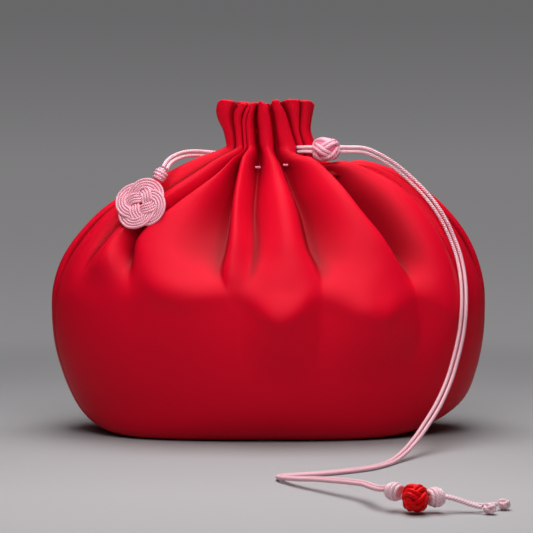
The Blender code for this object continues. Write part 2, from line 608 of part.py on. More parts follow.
def main():
    clear_scene()
    satin = new_material("red_satin", (0.58, 0.017, 0.036), 0.42)
    pink = new_material("pink_cord", (0.82, 0.42, 0.47), 0.50)
    red = new_material("red_cord", (0.65, 0.010, 0.020), 0.50)
    make_pouch(satin)
    make_slider(pink)
    make_right_drawstring(pink, red)
    make_left_drawstring(pink)
    make_pleat_cords(pink)


main()
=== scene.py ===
"""Looks of the gathered satin drawstring pouch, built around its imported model.

The pouch's cloth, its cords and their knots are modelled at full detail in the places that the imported
model gives them. Metres, +Z up, -Y to the front.
"""
import math

import bpy
import numpy as np
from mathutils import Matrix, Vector


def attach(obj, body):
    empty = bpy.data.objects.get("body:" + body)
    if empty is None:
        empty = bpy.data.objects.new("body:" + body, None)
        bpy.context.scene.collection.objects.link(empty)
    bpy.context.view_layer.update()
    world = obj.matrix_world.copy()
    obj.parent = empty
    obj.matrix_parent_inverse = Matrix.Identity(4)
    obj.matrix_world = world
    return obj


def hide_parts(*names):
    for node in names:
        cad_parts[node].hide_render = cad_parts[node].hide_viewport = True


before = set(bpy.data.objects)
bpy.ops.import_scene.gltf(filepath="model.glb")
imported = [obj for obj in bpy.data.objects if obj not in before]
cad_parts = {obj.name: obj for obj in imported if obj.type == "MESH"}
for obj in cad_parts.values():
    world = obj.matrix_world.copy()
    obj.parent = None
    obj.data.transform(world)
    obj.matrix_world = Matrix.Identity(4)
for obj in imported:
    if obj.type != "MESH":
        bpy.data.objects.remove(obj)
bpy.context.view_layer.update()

# Camera, solved from the photograph
CAMERA_PLACE = (-0.0010, -0.8500, 0.1417)
CAMERA_PITCH = 4.14  # degrees down
CAMERA_LENS = 118.1  # mm, as is the sensor's width
SENSOR_WIDTH = 36.0
CLIP_START = 0.01

# Pouch sizes, as in the part's source
POUCH_HALF_WIDTH = 0.1050
POUCH_HALF_DEPTH = 0.0465
SHOULDER_HEIGHT = 0.1380
RUFFLE_HEIGHT = 0.0215
RUFFLE_WALL = 0.0016
FUNNEL_STATIONS = 2.8  # how far down the ruffle's inside is followed
FUNNEL_RINGS = 14
FUNNEL_FOLD_SHARE = 0.75  # how deep the folds are on the ruffle's inside
FUNNEL_FLOOR_REACH = 0.5  # the floor's edge, as a share of the ring above it
FUNNEL_FLOOR_RISE = 0.3  # how far up to that ring it stands
NECK_FLOOR_RISE = 0.0040
FOLD_DEPTH = 0.0050
SEAM_GROOVE = 0.0008

# Cord and knot sizes, as in the part's source
CORD_DIAMETER = 0.0018
STRAND_GAP = 0.0003
TOUCH_GAP = 0.0003
SLIDER_LENGTH = 0.0125
SLIDER_RADIUS = 0.0066
UPPER_KNOT_LENGTH = 0.0062
UPPER_KNOT_RADIUS = 0.0038
BEAD_LENGTH = 0.0088
BEAD_RADIUS = 0.0061
LOWER_KNOT_LENGTH = 0.0064
LOWER_KNOT_RADIUS = 0.0040
BALL_RADIUS = 0.0024
WRAP_KNOT_LENGTH = 0.0066
WRAP_KNOT_RADIUS = 0.0036
CHARM_RADIUS = 0.0134
LAID_HEIGHT = 0.030

# The pouch's shape by station, as in the part's source: reach and height of the left side, right
# side, front and back, as shares of the sizes above
RIM_STATION = 21
BODY_SHAPE = (
    ((0.630, 0.000), (0.545, 0.000), (0.665, 0.000), (0.600, 0.000)),
    ((0.728, 0.008), (0.655, 0.010), (0.760, 0.011), (0.710, 0.011)),
    ((0.804, 0.029), (0.758, 0.034), (0.850, 0.038), (0.810, 0.038)),
    ((0.868, 0.070), (0.857, 0.077), (0.928, 0.086), (0.905, 0.086)),
    ((0.918, 0.132), (0.925, 0.132), (0.980, 0.152), (0.978, 0.152)),
    ((0.962, 0.217), (0.968, 0.217), (1.018, 0.239), (1.018, 0.239)),
    ((0.995, 0.312), (0.995, 0.312), (1.040, 0.333), (1.040, 0.333)),
    ((1.005, 0.413), (1.005, 0.413), (1.043, 0.420), (1.040, 0.420)),
    ((0.992, 0.507), (0.994, 0.507), (1.030, 0.500), (1.010, 0.500)),
    ((0.944, 0.601), (0.950, 0.601), (0.960, 0.575), (0.925, 0.575)),
    ((0.858, 0.696), (0.879, 0.703), (0.835, 0.655), (0.805, 0.655)),
    ((0.742, 0.785), (0.784, 0.790), (0.690, 0.740), (0.672, 0.740)),
    ((0.610, 0.846), (0.672, 0.862), (0.545, 0.825), (0.538, 0.825)),
    ((0.466, 0.906), (0.546, 0.914), (0.415, 0.895), (0.415, 0.895)),
    ((0.333, 0.957), (0.419, 0.938), (0.333, 0.949), (0.333, 0.949)),
    ((0.238, 0.984), (0.292, 0.912), (0.288, 0.975), (0.288, 0.975)),
    ((0.192, 1.000), (0.216, 0.934), (0.262, 0.994), (0.262, 0.994)),
    ((0.189, 1.020), (0.206, 1.000), (0.254, 1.012), (0.254, 1.012)),
)
RUFFLE_SHAPE = (
    ((0.202, 0.400), (0.184, 0.370), (0.267, 0.370), (0.267, 0.370)),
    ((0.225, 0.640), (0.187, 0.620), (0.292, 0.620), (0.292, 0.620)),
    ((0.236, 0.850), (0.194, 0.840), (0.323, 0.840), (0.323, 0.840)),
    ((0.234, 1.000), (0.200, 1.000), (0.335, 1.000), (0.335, 1.000)),
)
# The folds' valleys, by station: the angle from the front in degrees, then the depth as a share.
FOLD_STATIONS = (4.5, 7.3, 8.2, 9.2, 10.2, 11.5, 13.2, 15, 17, 21)
VALLEYS = (
    ("left seam", (-79, -79, -79, -80, -81, -83, -90, -98, -98, -92),
     (0.0, 0.0, 0.0, 0.0, 0.0, 0.1, 0.6, 0.9, 0.8, 0.5)),
    ("left side", (-62, -62, -62, -62, -62, -61, -59, -56, -54, -38),
     (0.0, 0.0, 0.0, 0.3, 0.7, 0.8, 0.7, 0.6, 0.5, 0.55)),
    ("left lobe", (-36, -38, -39, -42, -46, -41, -32, -33, -37, -23.5),
     (0.0, 0.0, 0.0, 0.6, 1.5, 1.9, 1.5, 0.9, 0.6, 0.4)),
    ("left inner", (-10, -10, -11, -13, -13, -15, -20, -29, -31, -19),
     (0.0, 0.0, 0.0, 0.4, 1.1, 1.8, 1.7, 1.0, 0.0, -0.2)),
    ("centre", (-7, -7, -6, -4.5, -4, -5.5, -7, -11, -17, -13.5),
     (0.0, 0.0, 0.0, 0.1, 0.3, 0.7, 1.1, 1.4, 1.5, 1.0)),
    ("right inner", (13.5, 13.5, 14, 14, 12.3, 12, 10, 8.5, 9, 1.3),
     (0.0, 0.0, 0.0, 0.5, 1.2, 1.7, 1.6, 1.1, 0.8, 0.7)),
    ("right lobe", (42, 42, 41.5, 41, 38, 34.5, 33, 34, 38, 15),
     (0.0, 0.0, 0.2, 1.1, 2.2, 2.7, 2.0, 1.1, 0.7, 0.5)),
    ("right side", (62, 62, 62, 63, 64, 67, 67, 53, 52, 45),
     (0.0, 0.0, 0.0, 0.2, 0.5, 0.7, 1.0, 1.3, 0.9, 0.25)),
    ("right seam", (87, 87, 87, 87, 87, 87, 87, 88, 88, 88),
     (0.0, 0.0, 0.0, 0.0, 0.0, 0.1, 0.25, 0.4, 0.5, 0.4)),
)
# The folds that stand between those valleys, left to right: the height at each station, as a share.
RIDGES = (
    (0.0, 0.0, 0.0, 0.1, 0.2, 0.2, 0.2, 0.2, 0.25, 0.3),
    (0.0, 0.0, 0.0, 0.6, 0.5, 0.25, 0.2, 0.25, 0.25, 0.3),
    (0.0, 0.4, 0.6, 0.5, 0.6, 0.5, 0.4, 0.2, 0.15, 0.25),
    (0.0, 0.0, 0.0, 0.3, 0.6, 0.6, 0.6, 0.4, 0.3, 0.25),
    (0.0, 1.1, 0.55, 0.45, 0.7, 0.8, 0.6, 0.4, 0.4, 0.4),
    (0.0, 1.1, 0.60, 0.45, 0.7, 0.8, 0.6, 0.4, 0.3, 0.3),
    (0.0, 0.8, 0.7, 0.6, 0.6, 0.6, 0.4, 0.1, 0.15, 0.5),
    (0.0, 0.0, 0.0, 0.0, 0.05, 0.1, 0.2, 0.25, 0.25, 0.3),
)
# Where each front fold's crest stands across its width: at its lower end, then higher up
LOW_CRESTS = (0.50, 0.50, 0.60, 0.50, 0.50, 0.46, 0.55, 0.50)
CRESTS = (0.50, 0.50, 0.28, 0.36, 0.55, 0.70, 0.62, 0.50)
CREST_START = 7.3  # the station where the crests begin to move over
CREST_STATIONS = 3  # the stations that they take for it
LOW_NARROWING = 0.4  # how much narrower the folds' lower ends are than the folds
# Which sides of each front fold are soft and which drop crisply: its left one, then its right one
FOLD_SIDES = (
    ("soft", "soft"), ("soft", "soft"), ("crisp", "soft"), ("crisp", "soft"),
    ("soft", "crisp"), ("soft", "crisp"), ("soft", "crisp"), ("soft", "soft"),
)
BACK_FOLD_SIDES = ("crisp", "crisp")
SOFT_POWER = 1.25
CRISP_POWER = 2.4
# How far each fold's crest leans over, as a share of the fold's width, and how far at each station
LEANS = (0.0, 0.0, -0.10, -0.08, 0.05, 0.12, 0.10, 0.0)
LEAN_SHARES = (0.0, 0.1, 0.2, 0.6, 1.0, 1.0, 1.0, 0.9, 0.7, 0.5)
BACK_FOLDS = 8
BACK_VALLEY = (0.0, 0.0, 0.1, 0.4, 0.7, 0.8, 0.7, 0.6, 0.55, 0.55)
BACK_RIDGE = (0.0, 0.1, 0.4, 0.7, 0.7, 0.6, 0.5, 0.4, 0.3, 0.3)
BACK_FULLNESS = 0.85  # the back folds' height, as a share of that
BACK_UNEVENNESS = 0.3  # how much it differs from fold to fold
BACK_WAVE = (2.4, 1)  # that difference's step from fold to fold and its start, in radians
# How far the ruffle's edge rises or drops at some angles from the front, in degrees and metres
RIM_RISES = (
    (-92, -0.0035), (-80, -0.0012), (-62, 0.0008), (-44, 0.0006), (-38, -0.0014), (-31, -0.0005),
    (-23.5, -0.0012), (-19, -0.0004), (-13.5, -0.0012), (-8, 0.0004), (1.3, -0.0032), (5, 0.0004),
    (10, 0.0008), (15, -0.0002), (25, 0.0012), (45, 0.0009), (70, 0.0002), (88, -0.0008),
    (135, 0.0006), (180, -0.0004), (225, 0.0006), (268, -0.0035),
)
RIM_RISE_STATIONS = 3  # the stations below the edge over which that fades away
SEAM_BASE_ANGLE = 62  # where the side seams end under the belly, in degrees from the front
SEAM_HALF_WIDTH = 1.6  # degrees
BASE_SQUARENESS = 0.42
SQUARE_STATIONS = 4  # the stations over which the base grows round

# The folds end over the belly in soft lips: the lips' heights in mm, at every LIP_STEP from the left
# to the right of the front, and how far they stand out there, as a share
LIP_START = -0.090
LIP_STEP = 0.0075
LIP_HEIGHTS = (85, 85, 86, 84.5, 79, 73, 69.5, 68.4, 69.2, 71.8, 72.5, 67, 61, 59.5, 64, 70.5, 68,
               64.5, 62, 60.5, 66, 70, 68, 61.5, 60)
LIP_SHARES = (0.0, 0.2, 0.3, 0.2, 0.4, 0.7, 0.8, 0.7, 0.7, 0.5, 0.4, 0.7, 1.0, 1.0, 0.8, 0.3, 0.7,
              0.9, 1.0, 0.9, 0.5, 0.3, 0.6, 0.8, 0.2)
LIP_DEPTH = 0.0017  # how far a lip stands out
LIP_WIDTH = 0.0065  # half its height
LIP_ABOVE = 1.25  # how much of that width lies above its middle
LIP_BELOW = 0.8  # and below it
LIP_FADE = 0.4  # they fade out below this cosine of the angle from the front
# Above the shoulder the pleats are round and set close: from this station, over these stations
PLEAT_START = 13.5
PLEAT_STATIONS = 3.0
RIM_DIP = 0.0012  # how far the ruffle's edge drops in the valleys
HEM_TURNS = (30, 60, 90, 120, 150, 180)  # the rings over the rounded hem, in degrees

# Painted shade: the cloth's colour is painted darker with the depth below the folds' crests
SHADED_DEPTH = 0.0130  # the depth where the painted shade is darkest
SHADE_START = 8.0  # the station where that begins
SHADE_STATIONS = 2.0
NECK_SHADE_START = 12.5
NECK_SHADE_STATIONS = 3.0
NECK_SHADE = 1.8  # how much darker the shade painted in the neck's valleys is
CREASE_SHADE = 1.8  # how much darker the shade painted along the lines at the bottoms of the valleys is
CREASE_SHARE = 0.085  # half the width of those lines, as a share of the fold's
SEAM_SHADE = 0.0055  # how dark the shade painted along the side seams' grooves is
# How far up each front fold the valleys' painted shade goes
SHADE_SPREADS = (1.0, 1.3, 1.7, 1.0, 1.0, 1.0, 2.6, 1.5)

# Fineness of the cloth
FRONT_COLUMNS = 30  # columns across each front fold
BACK_COLUMNS = 15
RINGS_PER_STATION = 9
CURVE_STEPS = 24  # points of a smooth route between two of its given points

# Cord routes, as in the part's source
SLIDER_CENTRE = (0.0275, -0.0100, 0.1372)
RIGHT_ROUTE = (
    (0.0160, -0.0100, 0.1372), (0.0270, -0.0100, 0.1372), (0.0380, -0.0100, 0.1372),
    (0.0455, -0.0100, 0.1369), (0.0516, -0.0095, 0.1346), (0.0577, -0.0084, 0.1312),
    (0.0634, -0.0076, 0.1271), (0.0690, -0.0077, 0.1222), (0.0747, -0.0090, 0.1165),
    (0.0794, -0.0111, 0.1106), (0.0840, -0.0133, 0.1032), (0.0877, -0.0157, 0.0949),
    (0.0906, -0.0195, 0.0860), (0.0920, -0.0254, 0.0753), (0.0918, -0.0312, 0.0638),
    (0.0905, -0.0344, 0.0523), (0.0878, -0.0384, 0.0417), (0.0837, -0.0448, 0.0306),
    (0.0779, -0.0550, 0.0210), (0.0718, -0.0640, 0.0136), (0.0661, -0.0730, 0.0079),
    (0.0602, -0.0825, 0.0037), (0.0546, -0.0910, 0.0013), (0.0490, -0.1000, 0.0010),
    (0.0410, -0.1083, 0.0010), (0.0257, -0.1172, 0.0010), (0.0119, -0.1222, 0.0010),
    (0.0068, -0.1245, 0.0011), (0.0047, -0.1290, 0.0014), (0.0067, -0.1345, 0.0022),
    (0.0123, -0.1427, 0.0034), (0.0183, -0.1494, 0.0046), (0.0245, -0.1565, 0.0056),
    (0.0310, -0.1636, 0.0064), (0.0369, -0.1712, 0.0071), (0.0393, -0.1786, 0.0076),
    (0.0417, -0.1850, 0.0081), (0.0446, -0.1878, 0.0084),
)
RIGHT_TUCK = ((0.0100, -0.0015, 0.1362), (0.0132, -0.0062, 0.1368))  # hidden in the drawn neck
UPPER_KNOT_CENTRE = (0.0479, -0.1898, 0.0077)
BEAD_CENTRE = (0.0554, -0.1939, 0.0061)
BEAD_AXIS = (1, 0.17, 0)
FRONT_TAIL_ROUTE = (
    (0.0671, -0.1929, 0.0062), (0.0700, -0.1927, 0.0055), (0.0732, -0.1928, 0.0045),
    (0.0765, -0.1932, 0.0034), (0.0790, -0.1938, 0.0028), (0.0807, -0.1943, 0.0025),
)
FRONT_BALL_CENTRE = (0.0836, -0.1953, 0.0024)
BACK_TAIL_ROUTE = (
    (0.0671, -0.1908, 0.0062), (0.0700, -0.1906, 0.0055), (0.0732, -0.1907, 0.0045),
    (0.0765, -0.1909, 0.0034), (0.0800, -0.1907, 0.0027), (0.0840, -0.1896, 0.0025),
    (0.0873, -0.1884, 0.0025),
)
BACK_BALL_CENTRE = (0.0901, -0.1874, 0.0024)
LEFT_ROUTE = (
    (-0.0205, 0.0128, 0.1344), (-0.0245, 0.0131, 0.1344), (-0.0287, 0.0127, 0.1347),
    (-0.0331, 0.0108, 0.1351), (-0.0372, 0.0070, 0.1352), (-0.0412, 0.0018, 0.1347),
    (-0.0450, -0.0047, 0.1333), (-0.0478, -0.0110, 0.1312), (-0.0494, -0.0156, 0.1283),
)
CHARM_CENTRE = (-0.0605, -0.0227, 0.1116)
CHARM_UP = (0.53, 0.30, 0.79)
CHARM_NORMAL = (-0.28, -0.87, 0.41)

# The cords' twist
CORD_PLIES = 3
PLY_DEPTH = 0.26  # depth of the grooves between plies, as a share of the radius
TWIST_LENGTH = 0.0036  # length of one whole turn of a ply
TUBE_SIDES = 12
TUBE_STEP = 0.00024  # between two rings of a strand's mesh
NO_HEADING = (0.3, 0.2, 0.93)  # a direction that no strand starts in

# The knots' strands: diameters in metres
SLIDER_STRAND = 0.0020
UPPER_KNOT_STRAND = 0.0016
BEAD_STRAND = 0.0019
LOWER_KNOT_STRAND = 0.0017
BALL_STRAND = 0.0014
WRAP_KNOT_STRAND = 0.0018
CHARM_STRAND = 0.00135
KNOT_SIDES = 8
KNOT_PLY_DEPTH = 0.05
KNOT_STEPS = 720  # points of a woven knot's line

# Woven knots: three leads round an axis, their strands laid side by side
KNOT_LEADS = 3
SLIDER_BIGHTS = 4
BEAD_BIGHTS = 5
BALL_BIGHTS = 4
PAIR_SPACING = 0.0017  # between the middles of two strands that run together
PAIR_WEAVE = 0.0008  # how far they pass over and under each other
PAIR_END_SHARE = 0.50  # the knot's radius at its ends, as a share
BALL_WEAVE = 0.0003
BALL_END_SHARE = 0.30
BALL_INSETS = (0.0006, 0.0010)  # how far inside the ball's ends and sides its strand's line lies
SIDE_SLOPE = 0.6  # how much the strands' lie follows the knot's rounding
SLIDER_BORE = 0.0023  # radius of the hole that the pair runs through

# Wound knots: how often the strand goes round the axis, and how far its turns lean over
UPPER_KNOT_WINDING = (4, 0.25)
LOWER_KNOT_WINDING = (4, -0.30)
WRAP_KNOT_WINDING = (3.5, 0.1)
WOUND_SWING = 1.05  # how far round the knot's rounded side the turns reach, in radians
WOUND_ROUNDNESS = 0.85
WOUND_STEPS = 90  # points for each turn

# Plain cores inside the knots: half their length and their radius, as shares of the knot's
SLIDER_CORE = (0.40, 0.72)
END_KNOT_CORE = (0.42, 0.75)
BEAD_CORE = (0.42, 0.72)
WRAP_KNOT_CORE = (0.42, 0.70)
BALL_CORE = 0.7  # both, as shares of the ball's radius

# The mat: four strands side by side, three leads and four bights
CHARM_STRANDS = 4
CHARM_LEADS = 3
CHARM_BIGHTS = 4
CHARM_SWING = 0.0037  # how far the strands' way swings in and out
CHARM_WEAVE = 0.0006
CHARM_TWIST_LENGTH = 0.0030
CHARM_STEPS = 900

# Materials: the shaders' inputs, and each cord's own colour and the shade painted in its grooves
SATIN_SURFACE = {"Roughness": 0.46, "Specular IOR Level": 0.22, "Specular Tint": (1.0, 0.30, 0.34, 1)}
# The satin's own red, then darker reds that paint shade deeper in the folds
SATIN_RED_AND_PAINTED_SHADE = (
    (0.20, (0.72, 0.002, 0.020)),
    (0.60, (0.46, 0.001, 0.011)),
    (1.0, (0.28, 0.0005, 0.006)),
)
WEAVE = {"Scale": 1800}
TWILL = {"Scale": 420, "Distortion": 0.4}
WEAVE_BUMP = {"Strength": 0.08, "Distance": 0.0002}
CORD_SURFACE = {"Roughness": 0.38, "Specular IOR Level": 0.40}
PINK_CORD = ((0.98, 0.80, 0.84), (0.70, 0.16, 0.25))
PINK_KNOTS = ((0.97, 0.67, 0.74), (0.68, 0.10, 0.20))
PALE_KNOTS = ((0.98, 0.82, 0.86), (0.88, 0.44, 0.53))
RED_KNOT = ((1.0, 0.010, 0.014), (0.66, 0.003, 0.006))
STRAND_STOPS = (0.44, 0.86)  # heights on a strand where the painted groove shade ends and its own colour begins
SHADE_RELIEF = "relief"  # the meshes' own measure that those colours and the painted shade follow

# The stage: a round floor and backdrop. The floor's greys paint light that falls off, paler in front and
# darker behind, by metres behind the middle; the backdrop's greys paint light that falls off by metres
# away from it and up, darker higher up.
STAGE_RADIUS = 1.80
STAGE_HEIGHT = 1.80
STAGE_SWEEP = 0.30  # radius of the bend between floor and backdrop
SWEEP_RINGS = 16
SWEEP_START = 0.1  # the bend's first ring, in radians
STAGE_RINGS = (0.3, 0.6, 0.9, 1.2)
STAGE_COLUMNS = 96
STAGE_TINT = 0.975  # the greys' green, as a share
STAGE_SURFACE = {"Roughness": 0.9, "Specular IOR Level": 0.1}
FLOOR_REACH = (-0.40, 0.60)
# Painted fall-off of light on the floor, then on the backdrop
FLOOR_FALLOFF_GREYS = ((-0.157, 0.428), (0.0, 0.325), (0.180, 0.268), (0.400, 0.272))
BACKDROP_REACH = (0.20, 2.40)
BACKDROP_FALLOFF_GREYS = ((0.35, 0.255), (1.0, 0.228), (1.5, 0.218), (1.85, 0.205), (2.12, 0.141),
                   (2.30, 0.128))
FLOOR_FADE = (0.24, 0.44)  # the floor passes into the backdrop between these radii

# Lights: name, place, aim, size, watts and spread in degrees
LIGHTS = (
    ("overhead", (0.0, 0.04, 0.70), (0.0, 0.04, 0), (0.50, 0.40), 4.5, 180),
    ("front_top", (0.0, -0.32, 0.46), (0, 0, 0.10), (0.34, 0.26), 1.33, 180),
    ("neck", (-0.10, -0.60, 0.34), (0, 0, 0.165), (0.10, 0.10), 0.042, 30),
)
WORLD_STRENGTH = 0.08


def smooth_step(share):
    """A share held between 0 and 1, with a soft start and end."""
    share = np.clip(share, 0, 1)
    return share ** 2 * (3 - 2 * share)


def smooth_curve(points, where):
    """A smooth curve through the points, read at places counted in points (0 is the first)."""
    points = np.asarray(points, dtype=float)
    where = np.clip(np.asarray(where, dtype=float), 0, len(points) - 1)
    first = np.minimum(where.astype(int), len(points) - 2)
    t = (where - first).reshape(where.shape + (1,) * (points.ndim - 1))
    before = points[np.maximum(first - 1, 0)]
    start = points[first]
    end = points[first + 1]
    after = points[np.minimum(first + 2, len(points) - 1)]
    return 0.5 * (2 * start + (end - before) * t
                  + (2 * before - 5 * start + 4 * end - after) * t ** 2
                  + (3 * start - before - 3 * end + after) * t ** 3)


def by_station(values, station):
    """A fold's value at a station, on a smooth curve that is level below the first fold station."""
    stations = np.array(FOLD_STATIONS)
    values = np.array(values)
    slopes = np.gradient(values, stations)
    slopes[0] = 0
    station = min(max(station, stations[0]), stations[-1])
    first = min(int(np.searchsorted(stations, station, side="right")) - 1, len(stations) - 2)
    span = stations[first + 1] - stations[first]
    t = (station - stations[first]) / span
    start = values[first] * (1 + 2 * t) * (1 - t) ** 2 + values[first + 1] * (3 - 2 * t) * t ** 2
    return start + span * t * (1 - t) * (slopes[first] * (1 - t) - slopes[first + 1] * t)


def seam_angle(values, station):
    """A side seam's angle, which turns to the front under the belly."""
    upper = by_station(values, station)
    low = smooth_step(1 - station / SQUARE_STATIONS)
    return upper + (math.copysign(SEAM_BASE_ANGLE, values[0]) - upper) * low


def valley_angles(station):
    """Angles of all valleys at a station, from the left seam round the front and the back to it."""
    angles = [seam_angle(VALLEYS[0][1], station)]
    angles += [by_station(valley[1], station) for valley in VALLEYS[1:-1]]
    angles.append(seam_angle(VALLEYS[-1][1], station))
    start = angles[-1]
    for number in range(1, BACK_FOLDS + 1):
        angles.append(start + (angles[0] + 360 - start) * number / BACK_FOLDS)
    return np.array(angles)


def valley_depths(station):
    """Depths of all valleys at a station, in the same order."""
    depths = [by_station(valley[2], station) for valley in VALLEYS]
    depths += [by_station(BACK_VALLEY, station)] * (BACK_FOLDS - 1)
    depths.append(depths[0])
    return np.array(depths)


def ridge_heights(station):
    """Heights of all folds at a station, from the left seam round the front and the back to it."""
    heights = [by_station(ridge, station) for ridge in RIDGES]
    for number in range(BACK_FOLDS):
        fullness = BACK_FULLNESS + BACK_UNEVENNESS * math.sin(BACK_WAVE[0] * number + BACK_WAVE[1])
        heights.append(by_station(BACK_RIDGE, station) * fullness)
    return np.array(heights)


def fold_arch(t, crest, number):
    """Height of a fold across its width, 0 at its valleys and 1 at its crest.

    A side that drops crisply is full up to its valley, and a soft one slopes down to it.
    """
    kinds = FOLD_SIDES[number] if number < len(FOLD_SIDES) else BACK_FOLD_SIDES
    sides = []
    for kind, share in zip(kinds, (t / crest, (1 - t) / (1 - crest))):
        if kind == "soft":
            sides.append(np.sin(math.pi / 2 * np.clip(share, 0, 1)) ** SOFT_POWER)
        else:
            sides.append(1 - np.clip(1 - share, 0, 1) ** CRISP_POWER)
    return np.where(t < crest, sides[0], sides[1])


def crest_place(number, station):
    """Where a fold's crest stands across its width, from 0 to 1."""
    if number >= len(CRESTS):
        return 0.5
    moved = smooth_step((station - CREST_START) / CREST_STATIONS)
    return LOW_CRESTS[number] + (CRESTS[number] - LOW_CRESTS[number]) * moved


def body_point(angle, station):
    """The pouch without its folds: a point at an angle from the front, in degrees."""
    ruffle = [[(reach, 1 + height * RUFFLE_HEIGHT / SHOULDER_HEIGHT) for reach, height in row]
              for row in RUFFLE_SHAPE]
    shape = np.array([list(row) for row in BODY_SHAPE] + ruffle)
    left, right, front, back = np.moveaxis(smooth_curve(shape, station), -2, 0)
    side = np.sin(np.radians(angle))
    ahead = np.cos(np.radians(angle))
    across = np.where((side < 0)[..., None], left, right)
    along = np.where((ahead > 0)[..., None], front, back)
    power = 1 - BASE_SQUARENESS * smooth_step(1 - station / SQUARE_STATIONS)
    x = np.sign(side) * np.abs(side) ** power * across[..., 0] * POUCH_HALF_WIDTH
    y = -np.sign(ahead) * np.abs(ahead) ** power * along[..., 0] * POUCH_HALF_DEPTH
    z = (side ** 2 * across[..., 1] + ahead ** 2 * along[..., 1]) * SHOULDER_HEIGHT
    return np.stack([x, y, z], axis=-1)


def outward(angle, station):
    """Unit direction out of the unfolded pouch."""
    small = 0.05
    round_it = body_point(angle + 1, station) - body_point(angle - 1, station)
    low = np.maximum(station - small, 0)
    high = np.minimum(station + small, RIM_STATION)
    up_it = body_point(angle, high) - body_point(angle, low)
    normal = np.cross(round_it, up_it)
    return normal / np.linalg.norm(normal, axis=-1, keepdims=True)


def lip_rise(points, ahead):
    """How far the lower ends of the front's folds roll out over the belly."""
    place = (points[:, 0] - LIP_START) / LIP_STEP
    height = smooth_curve(LIP_HEIGHTS, place) / 1000
    share = smooth_curve(LIP_SHARES, place) * smooth_step(ahead / LIP_FADE)
    above = np.where(points[:, 2] > height, LIP_ABOVE, LIP_BELOW)
    return LIP_DEPTH * share * np.exp(-((points[:, 2] - height) / (LIP_WIDTH * above)) ** 2)


def pouch_ring(station, fold_share=1.0, wall=0.0):
    """One ring of the folded pouch, its columns following the folds, and how dark the shade painted at
    each point is.
    """
    angles = valley_angles(station)
    depths = valley_depths(station)
    heights = ridge_heights(station)
    narrow = 1 + LOW_NARROWING * (1 - smooth_step((station - CREST_START) / CREST_STATIONS))
    pleated = float(smooth_step((station - PLEAT_START) / PLEAT_STATIONS))
    ring_angles = []
    lift = []
    painted_shade = []
    dips = []
    for number, height in enumerate(heights):
        crest = crest_place(number, station)
        columns = FRONT_COLUMNS if number < len(CRESTS) else BACK_COLUMNS
        t = np.arange(columns) / columns
        floor = -(depths[number] * (1 - t) + depths[number + 1] * t)
        arch = fold_arch(t, crest, number)
        if number < len(CRESTS):
            beside = np.where(t < crest, 1 - t / crest, (t - crest) / (1 - crest))
            arch = arch * (1 - pleated) + np.sqrt(np.clip(1 - beside ** 2, 0, 1)) * pleated
        lean = LEANS[number] * by_station(LEAN_SHARES, station) if number < len(CRESTS) else 0
        place = t + lean * arch
        ring_angles.append(angles[number] * (1 - place) + angles[number + 1] * place)
        lift.append(floor + (height - floor) * arch ** narrow)
        crease = np.exp(-(t / CREASE_SHARE) ** 2) + np.exp(-((1 - t) / CREASE_SHARE) ** 2)
        spread = SHADE_SPREADS[number] if number < len(CRESTS) else 1.0
        painted_shade.append((height - floor) * (1 - arch ** (narrow * spread)) + CREASE_SHADE * crease)
        dips.append(1 - arch)
    ring_angles = np.concatenate(ring_angles)
    lift = np.concatenate(lift) * FOLD_DEPTH * fold_share
    dip = np.concatenate(dips)
    # Painted shade: darker deeper below the crests, starting above the belly and darker still in the
    # neck
    painted_shade = np.concatenate(painted_shade) * FOLD_DEPTH * smooth_step((station - SHADE_START) / SHADE_STATIONS)
    painted_shade *= 1 + NECK_SHADE * smooth_step((station - NECK_SHADE_START) / NECK_SHADE_STATIONS)
    # The side seams' grooves, with shade painted darker along them
    for seam in (angles[0], angles[len(VALLEYS) - 1]):
        away = np.abs((ring_angles - seam + 180) % 360 - 180)
        groove = np.exp(-(away / SEAM_HALF_WIDTH) ** 2) * min(1, station)
        lift -= SEAM_GROOVE * groove
        painted_shade = painted_shade + SEAM_SHADE * groove
    stations = np.full(ring_angles.shape, float(station))
    place = body_point(ring_angles, stations)
    if station == 0:
        return place, painted_shade
    rim_angles, rises = zip(*RIM_RISES)
    share = smooth_step(1 - (RIM_STATION - station) / RIM_RISE_STATIONS)
    place[:, 2] += np.interp(ring_angles, rim_angles, rises) * share - RIM_DIP * share * dip
    lift += lip_rise(place, np.cos(np.radians(ring_angles)))
    return place + outward(ring_angles, stations) * (lift - wall)[:, None], painted_shade


def set_inputs(node, values):
    """Gives a node's inputs their values."""
    for name, value in values.items():
        node.inputs[name].default_value = value


def new_material(name, surface):
    """A node material and the nodes' tree and shader."""
    material = bpy.data.materials.new(name)
    material.use_nodes = True
    tree = material.node_tree
    shader = tree.nodes["Principled BSDF"]
    set_inputs(shader, surface)
    return material, tree, shader


def link_all(tree, pairs):
    """Links outputs to inputs."""
    for source, target in pairs:
        tree.links.new(source, target)


def add_node(tree, kind, values=None, **settings):
    """A new shader node, with its inputs' values and its settings."""
    node = tree.nodes.new("ShaderNode" + kind)
    set_inputs(node, values or {})
    for name, value in settings.items():
        setattr(node, name, value)
    return node


def colour_ramp(tree, source, stops):
    """Colours by a value from 0 to 1, given as places and colours."""
    ramp = add_node(tree, "ValToRGB")
    elements = ramp.color_ramp.elements
    elements.remove(elements[-1])
    for number, (place, colour) in enumerate(stops):
        element = elements.new(place) if number else elements[0]
        element.position = place
        element.color = (*colour, 1)
    tree.links.new(source, ramp.inputs["Fac"])
    return ramp.outputs["Color"]


